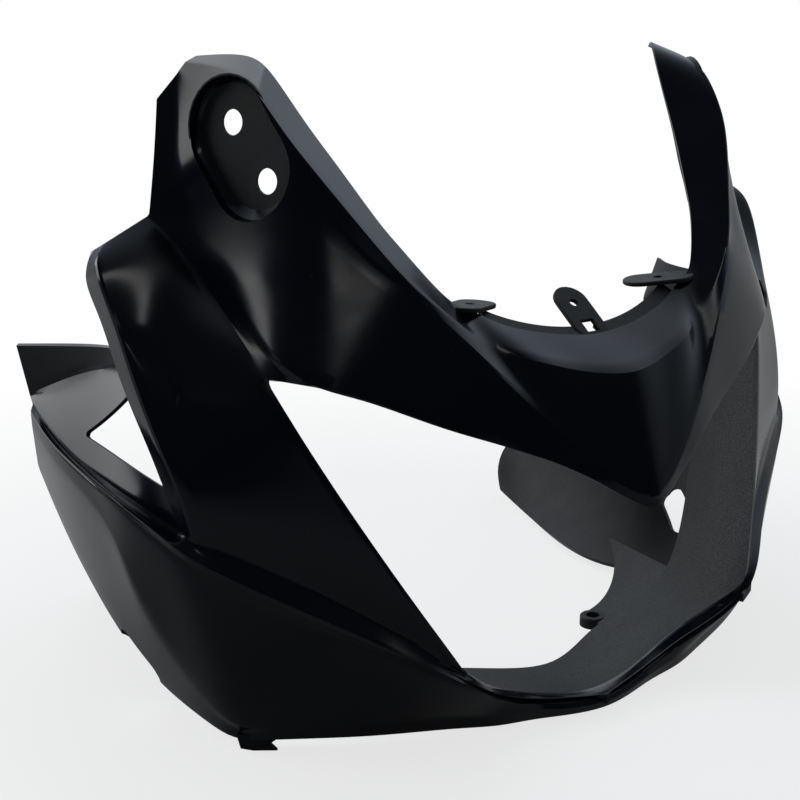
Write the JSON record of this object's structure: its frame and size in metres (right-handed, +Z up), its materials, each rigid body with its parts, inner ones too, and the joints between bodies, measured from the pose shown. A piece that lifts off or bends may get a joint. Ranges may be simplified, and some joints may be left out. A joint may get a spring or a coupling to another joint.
{
  "type": "motorcycle headlight fairing",
  "caption": "Moulded black nose fairing of a sport motorcycle: creased hood with mirror arms, screen tabs, headlight opening with a surround, side wings and keels.",
  "frame": {"origin": "under the middle of the box, at the height of the lowest tab", "axes": "+Z up, nose towards -Y, +X to the rider's left"},
  "size_m": [0.511, 0.3707, 0.3756],
  "materials": {
    "fairing": "gloss black paint outside, plain matte plastic inside"
  },
  "bodies": {
    "root": {"headlight_fairing": "fairing"}
  },
  "joints": []
}
